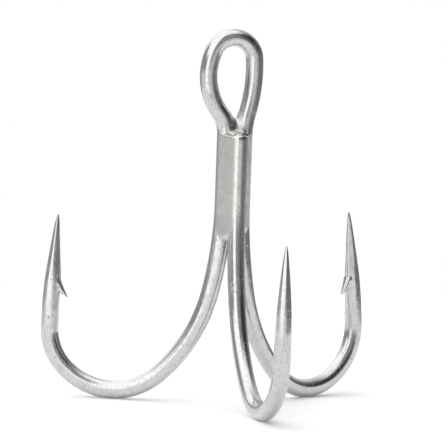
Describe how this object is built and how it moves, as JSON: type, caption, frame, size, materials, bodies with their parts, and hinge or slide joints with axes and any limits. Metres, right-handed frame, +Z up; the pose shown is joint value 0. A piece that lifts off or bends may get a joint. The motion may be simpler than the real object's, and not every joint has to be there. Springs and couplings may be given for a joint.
{
  "type": "treble hook",
  "caption": "Brazed treble fishing hook of bright tinned wire: a teardrop eye on a braze-filled shank, and barbed round-bend hooks spread evenly about it.",
  "frame": {"origin": "centre of the eye's top bow, where a split ring or line passes", "axes": "+Z up along the shanks towards the eye, +Y through the eye's opening, the single hook points along -Y and the other two towards +Y, left at -X and right at +X"},
  "size_m": [0.0388, 0.0334, 0.0428],
  "materials": {
    "tinned_wire": "bright tin plate on high-carbon steel wire, lightly brushed and pitted",
    "tinned_braze": "satin tin plate over braze metal"
  },
  "bodies": {
    "root": {"double_hook_wire": "tinned_wire", "single_hook_wire": "tinned_wire", "braze_core": "tinned_braze", "braze_fillet_left": "tinned_braze", "braze_fillet_right": "tinned_braze", "braze_fillet_back": "tinned_braze"}
  },
  "joints": []
}
